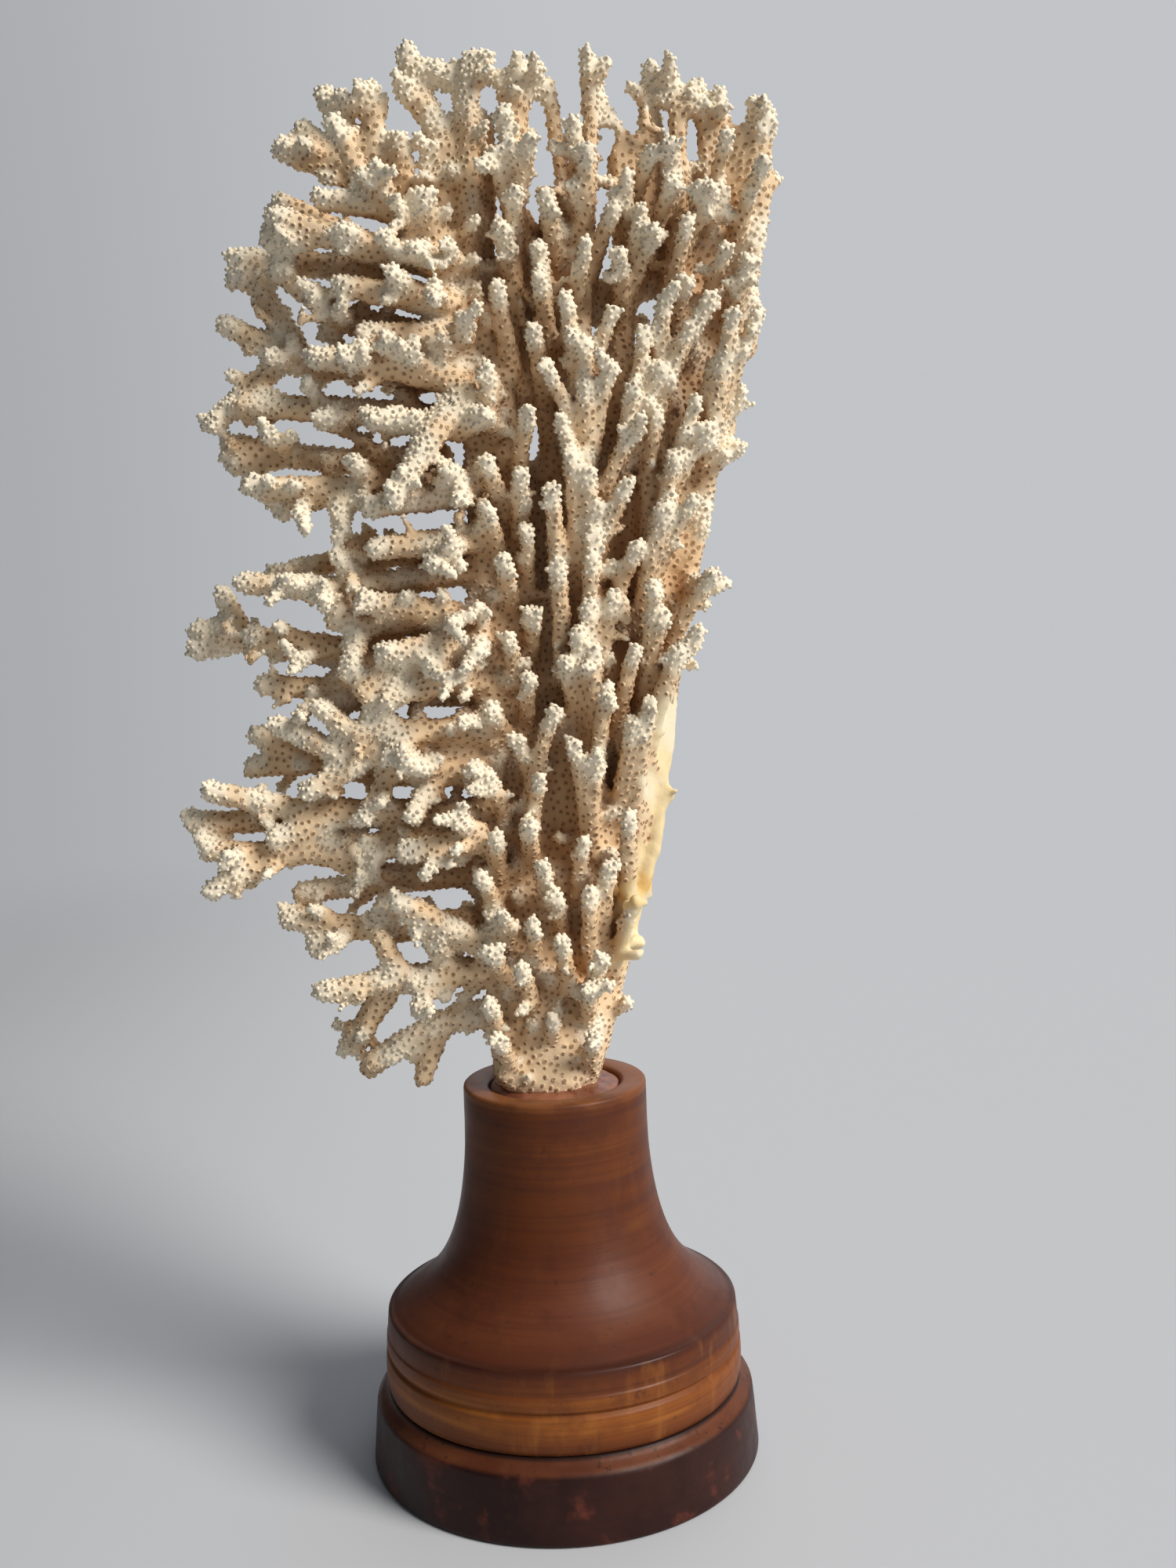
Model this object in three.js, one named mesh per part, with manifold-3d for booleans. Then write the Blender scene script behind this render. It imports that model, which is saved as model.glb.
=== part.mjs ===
// A fragment of branching table coral standing upright on a turned wooden stand.
// Millimetres, +Z up. The origin is the centre of the stand's underside. The coral's face, with its
// short fingers, looks towards -Y, its side limbs reach towards -X and its broken edge faces +X.

import * as THREE from "three";
import { mergeVertices } from "three/addons/utils/BufferGeometryUtils.js";
import Module from "manifold-3d";

const wasm = await Module();
wasm.setup();

// ---------- driving dimensions ----------

const LATHE_SIDES = 24;

// the plinth, a separate turned disc
const PLINTH_R = 47.9;
const PLINTH_FOOT_R = 49.2;
const PLINTH_TOP_Z = 19.4;
const PLINTH_EDGE = 3.4; // height of the ledge that runs in to the bell
const FOOT_ROUND = 0.8;

// the bell-shaped body
const BELL_BOTTOM_Z = 19.7;
const BARREL_R = 45;
const BARREL_ROUND = 1;
const GROOVE_Z = 29.3;
const GROOVE_DEPTH = 0.7;
const SHOULDER_R = 43.9;
const SHOULDER_Z = 39.1;
const FLARE_PULL = [[36.5, 43.9], [27, 46]]; // the bezier handles of the flare, as [radius, z]
const FLARE_TOP_Z = 70;
const FLARE_STEPS = 6;
const NECK_R = 23.1;
const NECK_TOP_Z = 95.5;
const RIM_ROUND = 1.2;
const RECESS_R = 16.4;
const RECESS_FLOOR_Z = 86;

// the plug that fills the recess and holds the coral
const PLUG_R = 16;
const PLUG_TOP_Z = 93.2;
const PLUG_BOTTOM_Z = 86.3;

// the coral
const CORAL_Z = -2; // the height of the origin that the coral's routes are measured from
const GAP = 0.4; // how far a piece stays from the pieces it grew from
const FOOT_Z = PLUG_TOP_Z + 0.3; // the foot is worn flat where it stands on the plug
const FOOT_SIDES = 10;
const FOOT_STEP = 8;
const RIB_SIDES = 6;
const RIB_R = [4.1, 3.5]; // at the foot and at the tip
const RIB_STEP = 28; // the length of a facet along a rib
const LIMB_SIDES = 5;
const LIMB_R = [4.2, 3];
const LIMB_STEP = 24;
const TWIG_R = [3.4, 2.8];
const FINGER_SIDES = 4;
const FINGER_R = [3.4, 2.8];
const TIP_REACH = 2.5; // how far a rib, limb or twig runs on beyond the last point of its route
const FINGER_LEAN = 8; // how far back along its limb a finger starts
const FACE_Y = -13; // the depth that the fingers on the face reach
const DEPTH = [1.1, 1.1]; // a rib's or limb's depth along Y over its width, at its start and at its tip

// ---------- the coral's routes ----------

// The trunk: a round foot that widens into a plate where the ribs are fused. Points are [x, y, z].
const FOOT = {
  route: [[-3, 0, 92], [-1.5, 1, 103], [0.5, 3, 118], [2, 4, 133.5]],
  radius: [13, 21.5],
  depth: [1, 0.34],
  fingers: [[-14, -12, 103.5], [0, -13, 101], [10, -9, 112], [-7, -11, 130]],
};

// The upright ribs, from left to right.
const RIBS = [
  { route: [[-12, 2, 127], [-15, 2, 150], [-14, 2, 175], [-12, 1, 200], [-13, 1, 225], [-14, 1, 250],
    [-14, 1, 275], [-14, 1, 300], [-12, 2, 325], [-12, 3, 345]] },
  { route: [[-4, 2, 132], [-5, 3, 155], [-5, 3, 175], [-4, 3, 195], [-5, 3, 215], [-4, 2, 235],
    [-6, 2, 255], [-6, 2, 275], [-4, 2, 290], [-2, 2, 305], [-2, 3, 322], [-4, 3, 343]],
    twigs: [[[-1, 3, 318], [2, 5, 332], [2, 5, 345]]] },
  { route: [[3, 6, 132], [4, 7, 165], [5, 7, 185], [4, 7, 210], [7, 7, 230], [4, 7, 250], [4, 7, 270],
    [6, 7, 285], [8, 7, 300], [10, 7, 316], [9, 6, 330], [7, 5, 341]] },
  { route: [[10, 2, 132], [12, 1, 165], [13, 1, 185], [13, 1, 210], [14, 0, 230], [13, 0, 250],
    [12, 0, 270], [12, 1, 285], [14, 1, 300], [16, 2, 315], [16, 2, 330], [17, 3, 345]] },
  { route: [[14, 6, 142], [18, 7, 165], [20, 8, 185], [20, 8, 210], [21, 7, 230], [20, 6, 250],
    [20, 6, 266], [23, 6, 285], [27, 7, 300], [30, 7, 315], [31, 7, 330], [32, 6, 342]],
    twigs: [[[27, 6, 300], [23, 4, 312], [22, 4, 324]], [[30, 6, 318], [26, 5, 332], [20, 4, 338]]] },
  { route: [[18, 3, 142], [23, 1, 165], [26, 1, 185], [27, 1, 210], [28, 0, 230], [28, 0, 250],
    [31, 0, 265], [34, 1, 280], [36, 1, 295], [38, 2, 310], [38, 2, 325], [37, 3, 341]] },
  { route: [[34, 5, 226], [35, 6, 245], [37, 6, 262], [41, 6, 280], [44, 5, 296], [46, 5, 312],
    [46, 5, 325], [44, 4, 338]],
    twigs: [[[45, 5, 301], [50, 5, 317], [50, 5, 336]]] },
  { route: [[16, 6, 128], [22, 7, 145], [27, 7, 162], [30, 7, 180], [32, 7, 200], [37, 6, 220],
    [41, 4, 240], [45, 3, 258], [50, 3, 277], [54, 3, 294], [57, 3, 308], [57, 3, 320], [59, 3, 331]] },
];

// Tips of the longest fingers on the coral's face, as [x, z], from the foot up. Each grows from the rib
// behind it. The many shorter ones between them reach no further.
const FACE_FINGERS = [
  [-12, 141], [21, 144], [1, 146], [-4, 165], [13, 179], [22, 187], [3, 191], [-12, 192], [33, 204],
  [7, 203], [18, 218], [42, 222], [5, 226], [-11, 239], [31, 238], [13, 248], [-3, 247], [24, 257],
  [42, 256], [31, 272], [13, 278], [-10, 272], [38, 281], [3, 295], [52, 294], [22, 297], [-6, 305],
  [44, 311], [5, 311], [-4, 328],
];

// The side limbs, from the top down. A limb's twigs fork from it, and its fingers are tips [x, y, z].
const LIMBS = [
  { route: [[-14, 5, 318], [-20, 7, 330], [-24, 7, 340], [-27, 7, 349]],
    twigs: [[[-25, 7, 346], [-18, 5, 344]]], fingers: [[-29, 4, 341]] },
  { route: [[-16, 6, 296], [-26, 7, 305], [-34, 8, 318], [-41, 8, 330], [-47, 7, 340]],
    twigs: [[[-35, 8, 320], [-38, 6, 331], [-36, 5, 340]], [[-29, 8, 309], [-29, 5, 320], [-29, 3, 328]]] },
  { route: [[-33, 9, 316], [-44, 10, 324], [-53, 10, 333]],
    twigs: [[[-44, 10, 323], [-52, 9, 326], [-58, 8, 328]]] },
  { route: [[-17, -2, 301], [-29, -3, 308], [-38, -5, 314], [-47, -6, 313]],
    twigs: [[[-35, -4, 312], [-40, -7, 321], [-43, -8, 328]]],
    fingers: [[-34, -13, 318], [-24, -11, 312]] },
  { route: [[-20, 8, 300], [-34, 9, 303], [-47, 10, 310], [-59, 10, 316]],
    twigs: [[[-50, 10, 311], [-61, 10, 311]]] },
  { route: [[-16, -3, 297], [-30, -5, 300], [-44, -6, 302], [-53, -6, 304], [-58, -7, 308]],
    twigs: [[[-50, -6, 303], [-60, -4, 304]]],
    fingers: [[-42, -13, 304], [-26, -13, 299]] },
  { route: [[-30, 8, 298], [-45, 9, 300], [-58, 9, 302], [-69, 8, 303]],
    twigs: [[[-57, 9, 301], [-66, 9, 297], [-71, 8, 297]]] },
  { route: [[-57, 10, 280], [-61, 10, 287], [-65, 9, 295]] },
  { route: [[-16, -3, 288], [-27, -5, 290], [-37, -7, 291], [-43, -8, 292]], fingers: [[-31, -14, 293]] },
  { route: [[-24, 4, 282], [-38, 3, 284], [-48, 1, 288], [-55, 0, 293], [-59, -1, 297]],
    fingers: [[-51, -7, 291]] },
  { route: [[-15, -4, 280], [-27, -6, 281], [-38, -8, 281]], fingers: [[-15, -13, 283]] },
  { route: [[-16, 8, 272], [-35, 9, 275], [-50, 9, 277], [-60, 8, 278], [-67, 7, 281], [-73, 6, 286]],
    twigs: [[[-61, 8, 278], [-68, 7, 271], [-73, 5, 266], [-77, 4, 263]]] },
  { route: [[-15, -3, 270], [-28, -5, 273], [-40, -7, 274], [-50, -7, 276]], fingers: [[-43, -14, 275]] },
  { route: [[-18, 4, 262], [-33, 3, 264], [-50, 2, 265], [-60, 2, 264], [-69, 2, 266]],
    twigs: [[[-55, 2, 265], [-65, 4, 269]]], fingers: [[-50, -7, 262]] },
  { route: [[-15, -5, 259], [-26, -7, 260], [-37, -9, 261]], fingers: [[-11, -13, 261]] },
  { route: [[-20, 9, 253], [-38, 10, 253], [-56, 10, 254], [-66, 10, 255], [-74, 9, 258]],
    twigs: [[[-62, 10, 255], [-73, 8, 253]]] },
  { route: [[-14, -6, 268], [-19, -9, 262], [-23, -11, 257], [-29, -13, 250], [-33, -14, 242]] },
  { route: [[-15, 4, 246], [-32, 3, 246], [-46, 1, 246], [-56, -1, 247], [-67, -2, 247]],
    twigs: [[[-48, 1, 246], [-50, -3, 241], [-47, -5, 236]], [[-50, 2, 245], [-62, 5, 242]]],
    fingers: [[-43, -8, 252]] },
  { route: [[-14, -4, 244], [-24, -6, 242], [-33, -7, 242], [-39, -7, 241]], fingers: [[-20, -14, 248]] },
  { route: [[-14, 8, 230], [-32, 9, 230], [-46, 10, 231], [-57, 10, 232], [-65, 9, 227]] },
  { route: [[-14, 3, 226], [-28, 2, 224], [-42, 1, 222], [-54, 0, 222], [-64, 0, 223], [-71, -1, 224]],
    fingers: [[-61, -7, 224], [-48, -6, 229]] },
  { route: [[-13, -4, 233], [-22, -7, 232], [-31, -8, 232], [-38, -8, 231]], fingers: [[-25, -14, 226]] },
  { route: [[-14, 2, 212], [-28, 0, 213], [-40, -1, 213], [-49, -2, 214]],
    twigs: [[[-45, -2, 214], [-49, -4, 219], [-52, -5, 222]],
    [[-43, -2, 212], [-46, -5, 207], [-47, -6, 202]]] },
  { route: [[-18, -3, 214], [-28, -6, 214], [-35, -8, 216], [-41, -9, 218]] },
  { route: [[-16, 7, 205], [-34, 7, 206], [-48, 6, 207], [-60, 4, 209], [-70, 2, 211]] },
  { route: [[-50, 9, 206], [-62, 10, 208], [-73, 10, 210], [-84, 9, 213]],
    twigs: [[[-73, 10, 210], [-76, 9, 216], [-78, 8, 221]], [[-76, 10, 210], [-85, 9, 208]]] },
  { route: [[-13, -4, 208], [-22, -7, 208], [-30, -9, 207], [-37, -10, 206]], fingers: [[-15, -14, 205]] },
  { route: [[-13, 0, 198], [-24, -3, 199], [-34, -6, 199], [-39, -6, 200]],
    twigs: [[[-25, -4, 198], [-32, -8, 196], [-36, -9, 195]]], fingers: [[-26, -12, 203]] },
  { route: [[-14, 8, 195], [-32, 9, 195], [-46, 8, 197], [-58, 6, 199], [-68, 4, 199]],
    twigs: [[[-36, 8, 196], [-46, 3, 194], [-52, 1, 194]]] },
  { route: [[-12, 0, 186], [-24, -2, 187], [-36, -4, 187], [-43, -5, 187]],
    twigs: [[[-36, -4, 187], [-41, -6, 193], [-43, -7, 197]]], fingers: [[-37, -10, 181]] },
  { route: [[-10, 1, 176], [-24, 0, 178], [-38, -2, 178], [-47, -3, 180], [-53, -4, 186], [-54, -5, 192]],
    radius: [5, 3.2],
    twigs: [[[-46, -3, 180], [-58, -2, 185], [-65, -1, 189]],
    [[-45, -3, 179], [-52, -4, 175], [-57, -5, 173]],
      [[-37, -2, 178], [-43, -5, 173], [-44, -7, 167]], [[-26, 0, 176], [-30, -6, 172], [-32, -9, 167]]],
    fingers: [[-30, -12, 178]] },
  { route: [[-14, 9, 176], [-34, 10, 175], [-52, 10, 177], [-64, 9, 181], [-71, 8, 186]],
    twigs: [[[-59, 9, 179], [-73, 9, 178]]] },
  { route: [[-14, 5, 165], [-34, 4, 166], [-54, 3, 167], [-68, 2, 169], [-82, 1, 173]],
    twigs: [[[-48, 3, 167], [-59, -1, 163], [-66, -2, 161]]] },
  { route: [[-46, 9, 163], [-58, 9, 164], [-72, 8, 165], [-88, 7, 165]] },
  { route: [[-13, 2, 158], [-34, 3, 158], [-56, 3, 157], [-70, 2, 157], [-84, 4, 158]],
    twigs: [[[-65, 2, 157], [-75, 0, 152], [-82, -1, 149]]] },
  { route: [[-14, -5, 160], [-24, -7, 159], [-34, -9, 158]], fingers: [[-22, -14, 166]] },
  { route: [[-15, 7, 150], [-34, 8, 149], [-50, 8, 147], [-62, 8, 146]],
    twigs: [[[-40, 7, 149], [-50, 4, 153], [-54, 3, 155]]] },
  { route: [[-14, 6, 137], [-32, 5, 136], [-48, 4, 137], [-58, 4, 139], [-65, 4, 140]],
    twigs: [[[-50, 4, 137], [-58, 3, 133]]], fingers: [[-42, -3, 142]] },
  { route: [[-13, -3, 131], [-21, -5, 138], [-28, -7, 144], [-36, -9, 146]] },
  { route: [[-12, 1, 126], [-26, 0, 126], [-38, -2, 125], [-48, -3, 124], [-56, -4, 123]],
    twigs: [[[-37, -2, 125], [-41, -4, 131], [-42, -5, 136]],
    [[-25, 0, 126], [-29, -4, 129], [-29, -6, 133]]],
    fingers: [[-33, -11, 119]] },
  { route: [[-40, 2, 123], [-46, 5, 116], [-50, 6, 111], [-52, 6, 107]] },
  { route: [[-10, 2, 116], [-24, 2, 115], [-33, 1, 110], [-40, 0, 106], [-45, -1, 104]],
    twigs: [[[-28, 2, 113], [-32, -1, 106], [-33, -2, 100]],
    [[-35, 2, 109], [-42, 4, 105], [-47, 5, 101]]] },
];

// ---------- solids ----------

/** A manifold solid from a closed three.js geometry. */
function solidOf(geometry) {
  const bare = geometry.clone();
  bare.deleteAttribute("normal");
  bare.deleteAttribute("uv");
  const merged = mergeVertices(bare, 1e-4);
  return new wasm.Manifold(
    new wasm.Mesh({
      numProp: 3,
      vertProperties: new Float32Array(merged.attributes.position.array),
      triVerts: new Uint32Array(merged.index.array),
    }),
  );
}

/** A three.js geometry from a manifold solid. */
function geometryOf(solid) {
  const mesh = solid.getMesh();
  const geometry = new THREE.BufferGeometry();
  geometry.setAttribute("position", new THREE.BufferAttribute(mesh.vertProperties, 3));
  geometry.setIndex(new THREE.BufferAttribute(mesh.triVerts, 1));
  geometry.computeVertexNormals();
  return geometry;
}

/** The world axis that a direction follows least. */
function crossAxis(direction) {
  const size = direction.toArray().map(Math.abs);
  return new THREE.Vector3().setComponent(size.indexOf(Math.min(...size)), 1);
}

/**
 * A closed tapering tube: a capped cylinder bent along a curve. grow makes it thicker and longer all over,
 * and depth stretches it along Y by its two ratios, at the start and at the end.
 */
function tube(curve, [startR, endR], sides, step, grow, depth = [1, 1]) {
  const length = curve.getLength();
  const steps = Math.max(1, Math.round(length / step));
  const geometry = new THREE.CylinderGeometry(1, 1, steps, sides, steps);
  const across = crossAxis(curve.getPointAt(1).sub(curve.getPointAt(0)));
  const position = geometry.attributes.position;
  for (let i = 0; i < position.count; i += 1) {
    const u = position.getY(i) / steps + 0.5;
    const tangent = curve.getTangentAt(u);
    const right = new THREE.Vector3().crossVectors(across, tangent).normalize();
    const front = new THREE.Vector3().crossVectors(right, tangent);
    const radius = THREE.MathUtils.lerp(startR, endR, u);
    const offset = right.multiplyScalar(position.getX(i)).addScaledVector(front, position.getZ(i));
    const place = curve.getPointAt(u).addScaledVector(offset, grow);
    offset.y *= THREE.MathUtils.lerp(depth[0], depth[1], u);
    place.addScaledVector(offset, radius);
    place.addScaledVector(tangent, grow * Math.sign(u - 0.5) * (u === 0 || u === 1 ? 1 : 0));
    position.setXYZ(i, place.x, place.y, place.z);
  }
  return solidOf(geometry);
}

/** A point of the coral, from its [x, y, z]. */
function coralPoint([x, y, z]) {
  return new THREE.Vector3(x, y, z + CORAL_Z);
}

/** The curve through a route, carried on beyond its last point. */
function curveThrough(route) {
  const points = route.map(coralPoint);
  const last = points.at(-1);
  const onward = last.clone().sub(points.at(-2)).setLength(TIP_REACH);
  last.add(onward);
  return new THREE.CatmullRomCurve3(points, false, "centripetal");
}

/** The share of a curve's length at which it passes closest to a point. */
function nearestShare(curve, point) {
  const samples = 80;
  const distances = curve.getSpacedPoints(samples).map((p) => p.distanceTo(point));
  return distances.indexOf(Math.min(...distances)) / samples;
}

/** A finger from a limb's curve to its tip, leaning towards the limb's own tip. */
function finger(curve, tip, grow) {
  const end = coralPoint(tip);
  const lean = FINGER_LEAN / curve.getLength();
  const start = curve.getPointAt(Math.max(0, nearestShare(curve, end) - lean));
  return tube(new THREE.LineCurve3(start, end), FINGER_R, FINGER_SIDES, start.distanceTo(end), grow);
}

/** A rib or limb with its twigs and fingers, as one solid. */
function branch({ route, radius, sides, step, depth = DEPTH, twigs = [], fingers = [] }, grow) {
  const curve = curveThrough(route);
  const parts = [tube(curve, radius, sides, step, grow, depth)];
  parts.push(...twigs.map((twig) => tube(curveThrough(twig), TWIG_R, LIMB_SIDES, LIMB_STEP, grow)));
  parts.push(...fingers.map((tip) => finger(curve, tip, grow)));
  return parts.reduce((whole, part) => whole.add(part));
}

/** A turned solid whose profile [radius, z] starts and ends on the axis, listed from the bottom up. */
function turned(profile) {
  const geometry = new THREE.LatheGeometry(profile.map(([r, z]) => new THREE.Vector2(r, z)), LATHE_SIDES);
  return geometry.rotateX(Math.PI / 2);
}

/** The largest separate body of a solid. */
function largestBody(solid) {
  return solid.decompose().reduce((best, body) => (body.volume() > best.volume() ? body : best));
}

// ---------- the stand ----------

function plinth() {
  return turned([
    [0, 0], [PLINTH_FOOT_R - FOOT_ROUND, 0], [PLINTH_FOOT_R, FOOT_ROUND],
    [PLINTH_R, PLINTH_TOP_Z - PLINTH_EDGE], [BARREL_R, PLINTH_TOP_Z], [0, PLINTH_TOP_Z],
  ]);
}

function bell() {
  const flare = new THREE.CubicBezierCurve(
    new THREE.Vector2(SHOULDER_R, SHOULDER_Z),
    ...FLARE_PULL.map(([r, z]) => new THREE.Vector2(r, z)),
    new THREE.Vector2(NECK_R, FLARE_TOP_Z),
  );
  return turned([
    [0, BELL_BOTTOM_Z], [BARREL_R - BARREL_ROUND, BELL_BOTTOM_Z], [BARREL_R, BELL_BOTTOM_Z + BARREL_ROUND],
    [BARREL_R, GROOVE_Z - GROOVE_DEPTH], [BARREL_R - GROOVE_DEPTH, GROOVE_Z],
    [BARREL_R, GROOVE_Z + GROOVE_DEPTH], ...flare.getPoints(FLARE_STEPS).map((p) => [p.x, p.y]),
    [NECK_R, NECK_TOP_Z - RIM_ROUND], [NECK_R - RIM_ROUND, NECK_TOP_Z], [RECESS_R, NECK_TOP_Z],
    [RECESS_R, RECESS_FLOOR_Z], [0, RECESS_FLOOR_Z],
  ]);
}

function plug() {
  return turned([[0, PLUG_BOTTOM_Z], [PLUG_R, PLUG_BOTTOM_Z], [PLUG_R, PLUG_TOP_Z], [0, PLUG_TOP_Z]]);
}

// ---------- the coral ----------

/** The index of the rib that passes closest behind a finger's tip. */
function nearestRib(curves, tip) {
  const end = coralPoint(tip);
  const gaps = curves.map((curve) => {
    const gap = curve.getPointAt(nearestShare(curve, end)).sub(end);
    return Math.hypot(gap.x, gap.z);
  });
  return gaps.indexOf(Math.min(...gaps));
}

/** Each coral piece's name and shape, in the order in which later pieces are cut clear of earlier ones. */
function coralPieces() {
  const ribFingers = RIBS.map(() => []);
  const ribCurves = RIBS.map(({ route }) => curveThrough(route));
  for (const [x, z] of FACE_FINGERS) {
    const tip = [x, FACE_Y, z];
    ribFingers[nearestRib(ribCurves, tip)].push(tip);
  }
  const ribs = RIBS.map((rib, i) => (
    { ...rib, name: `rib_${i + 1}`, fingers: ribFingers[i],
      radius: RIB_R, sides: RIB_SIDES, step: RIB_STEP }
  ));
  const limbs = LIMBS.map((limb, i) => {
    const name = `limb_${String(i + 1).padStart(2, "0")}`;
    return { radius: LIMB_R, sides: LIMB_SIDES, step: LIMB_STEP, ...limb, name };
  });
  return [{ ...FOOT, name: "foot", sides: FOOT_SIDES, step: FOOT_STEP }, ...ribs, ...limbs];
}

/** Whether two solids' bounding boxes meet. */
function boxesMeet(a, b) {
  const first = a.boundingBox();
  const second = b.boundingBox();
  return [0, 1, 2].every((k) => first.min[k] <= second.max[k] && second.min[k] <= first.max[k]);
}

/** The room that the plug and the neck take, which the coral stays above. */
function seat() {
  const cylinder = new THREE.CylinderGeometry(PLINTH_R, PLINTH_R, FOOT_Z);
  return solidOf(cylinder.rotateX(Math.PI / 2).translate(0, 0, FOOT_Z / 2));
}

function coralSolids() {
  const grown = [seat()];
  return coralPieces().map((piece) => {
    let solid = branch(piece, 0);
    for (const earlier of grown.filter((other) => boxesMeet(solid, other))) {
      solid = solid.subtract(earlier);
    }
    grown.push(branch(piece, GAP));
    return [piece.name, largestBody(solid)];
  });
}

// ---------- the object ----------

const finishes = {
  wood: { color: 0x7a4322, roughness: 0.45, metalness: 0 },
  darkWood: { color: 0x3a2418, roughness: 0.5, metalness: 0 },
  putty: { color: 0x6b3423, roughness: 0.35, metalness: 0 },
  coral: { color: 0xd9c4a0, roughness: 0.9, metalness: 0 },
};

function named(name, geometry, finish) {
  const mesh = new THREE.Mesh(geometry, new THREE.MeshStandardMaterial(finishes[finish]));
  mesh.name = name;
  return mesh;
}

const object = new THREE.Group();
object.add(
  named("plinth", plinth(), "darkWood"),
  named("bell", bell(), "wood"),
  named("plug", plug(), "putty"),
  ...coralSolids().map(([name, solid]) => named(name, geometryOf(solid), "coral")),
);

export default object;
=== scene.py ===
"""Looks for a fragment of branching coral on a turned wooden stand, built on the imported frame.

The coral starts from the frame's ribs and limbs. They are fused and rounded, given their full crop of
fingers, prongs and knobs, and covered with the little raised cups that the polyps left. Its right margin
is worn smooth low down. The stand's three pieces are made again at full smoothness. Lengths are in
millimetres until a mesh is made, and in metres in materials, lights and the camera.
"""

import heapq
import math

import bmesh
import bpy
import numpy as np
from mathutils import Matrix, Vector, kdtree
from mathutils.bvhtree import BVHTree


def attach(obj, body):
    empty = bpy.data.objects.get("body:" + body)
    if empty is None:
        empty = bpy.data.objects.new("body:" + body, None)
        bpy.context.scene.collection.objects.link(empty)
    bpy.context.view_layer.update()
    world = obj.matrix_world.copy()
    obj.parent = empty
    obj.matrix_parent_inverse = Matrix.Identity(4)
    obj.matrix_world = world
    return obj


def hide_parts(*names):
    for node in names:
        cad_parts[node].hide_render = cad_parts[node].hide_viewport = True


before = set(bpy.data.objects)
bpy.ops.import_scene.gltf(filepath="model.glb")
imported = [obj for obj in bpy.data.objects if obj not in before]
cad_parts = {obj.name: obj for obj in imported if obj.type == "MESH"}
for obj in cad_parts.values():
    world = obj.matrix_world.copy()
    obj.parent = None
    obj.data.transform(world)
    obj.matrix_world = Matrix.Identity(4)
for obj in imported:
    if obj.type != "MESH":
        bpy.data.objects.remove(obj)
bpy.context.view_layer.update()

MM = 0.001
rng = np.random.default_rng(7)

# ---------- the coral's fingers ----------

CORAL_Z = -2.0  # the height of the origin that the coral's points are measured from
FACE_Y = -13.0  # the depth that the fingers on the face reach

# Tips of the fingers on the face, as (x, z), from the foot up.
FACE_TIPS = [
    (10, 112), (0, 117), (-15, 121), (-13, 113), (9, 125), (12, 131), (-7, 130), (3, 136), (-15, 134),
    (-4, 141), (-11, 143), (2, 146), (10, 147), (21, 144), (-16, 152), (-1, 154), (15, 153), (9, 159),
    (-12, 161), (-4, 164), (20, 165), (-1, 175), (-13, 175), (13, 179), (22, 187), (26, 192), (7, 183),
    (-6, 184), (3, 191), (16, 196), (-12, 192), (-3, 199), (6, 202), (13, 205), (9, 209), (-7, 209),
    (23, 205), (33, 204), (38, 209), (12, 216), (18, 218), (-1, 214), (30, 213), (28, 220), (42, 222),
    (24, 229), (13, 227), (5, 226), (-8, 227), (-14, 216), (-11, 239), (-2, 234), (14, 233), (31, 238),
    (38, 240), (22, 244), (13, 247), (4, 243), (9, 251), (-11, 250), (-3, 247), (34, 250), (24, 257),
    (42, 256), (7, 259), (-1, 261), (39, 263), (30, 261), (24, 266), (13, 267), (31, 271), (19, 271),
    (4, 271), (-10, 271), (13, 277), (1, 280), (27, 279), (48, 282), (45, 272), (9, 287), (38, 280),
    (20, 284), (32, 286), (43, 286), (54, 282), (-7, 290), (3, 292), (38, 290), (52, 294), (22, 297),
    (3, 299), (14, 299), (30, 301), (47, 298), (38, 304), (-6, 305), (27, 304), (21, 308), (35, 313),
    (44, 311), (24, 315), (5, 311), (-2, 312), (30, 320), (-7, 320), (2, 323), (15, 320), (34, 321),
    (48, 324), (56, 317), (-4, 329), (12, 327),
]

# Tips of the fingers on the foot and on the side limbs, as (x, y, z), from the top down.
SIDE_TIPS = [
    (-29, 4, 341), (-24, 2, 327), (-43, 3, 339), (-34, -13, 318), (-24, -11, 312), (-30, -13, 310),
    (-42, -13, 304), (-33, -14, 302), (-18, -13, 300), (-26, -13, 299), (-31, -14, 293), (-22, -13, 290),
    (-51, -7, 291), (-45, -7, 286), (-33, -14, 279), (-15, -13, 283), (-62, -1, 278), (-43, -14, 275),
    (-28, -13, 276), (-50, -7, 262), (-53, -5, 270), (-63, -5, 259), (-11, -13, 261), (-57, -5, 240),
    (-43, -8, 252), (-20, -14, 248), (-18, -14, 241), (-61, -7, 224), (-52, -7, 221), (-48, -6, 229),
    (-25, -14, 226), (-20, -14, 230), (-20, -14, 212), (-58, -3, 205), (-15, -14, 205), (-26, -12, 203),
    (-20, -13, 200), (-59, -2, 191), (-37, -10, 181), (-19, -13, 189), (-30, -12, 178), (-17, -13, 178),
    (-78, -5, 157), (-29, -14, 153), (-22, -14, 166), (-46, -2, 151), (-43, -1, 156), (-53, -4, 135),
    (-42, -3, 142), (-33, -8, 138), (-33, -11, 119),
]
FOOT_LOBE = [(-12, -5, 102), (-9, -7.5, 100), (-3, -8.5, 99.5), (3, -7.5, 99.5), (7, -5, 101)]

# Knobs that stand out to the right of the right margin, as (x, y, z).
MARGIN_TIPS = [
    (22, 0, 132), (39, 2, 206), (45, 1, 220), (42, 2, 238), (50, -1, 253), (51, 2, 264), (56, 2, 285),
    (57, 2, 304), (60, 2, 331),
]

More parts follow.
